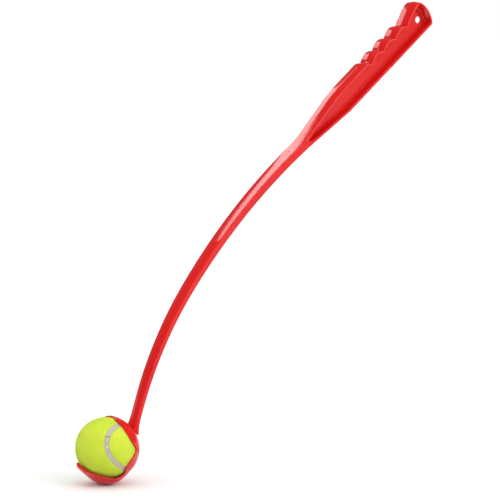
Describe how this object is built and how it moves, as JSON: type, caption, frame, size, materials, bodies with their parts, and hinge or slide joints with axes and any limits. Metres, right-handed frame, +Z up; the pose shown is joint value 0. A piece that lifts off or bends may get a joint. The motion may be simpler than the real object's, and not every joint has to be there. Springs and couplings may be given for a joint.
{
  "type": "ball launcher",
  "caption": "Curved plastic ball-throwing wand with a finger-grooved handle and a clawed cup that grips a felt-covered ball.",
  "frame": {"origin": "middle of the grip: on the wand's mid-plane, 85 mm along the handle from the kink in its back edge and 12.4 mm above that edge", "axes": "+Y is square to the wand's plane; the wand lies in the XZ plane, +Z up as pictured, with the ball end towards -X and -Z and the handle's end towards +X and +Z"},
  "size_m": [0.4453, 0.0634, 0.5003],
  "materials": {
    "shell": "glossy moulded polypropylene, red right through",
    "felt": "napped needle felt, optic yellow",
    "seam": "vulcanised seam cement, warm light grey, satin",
    "core": "moulded rubber, matte"
  },
  "bodies": {
    "launcher": {"launcher_wand": "shell"},
    "ball": {"core_half_a": "core", "core_half_b": "core", "felt_panel_a": "felt", "felt_panel_b": "felt", "seam_bead": "seam"}
  },
  "joints": [
    {"name": "ball_release", "type": "slide", "parent": "launcher", "child": "ball", "axis": [-0.8415, 0, 0.5402], "range_m": [0, 0.105], "deforming": ["felt_panel_a", "felt_panel_b", "seam_bead"]}
  ]
}
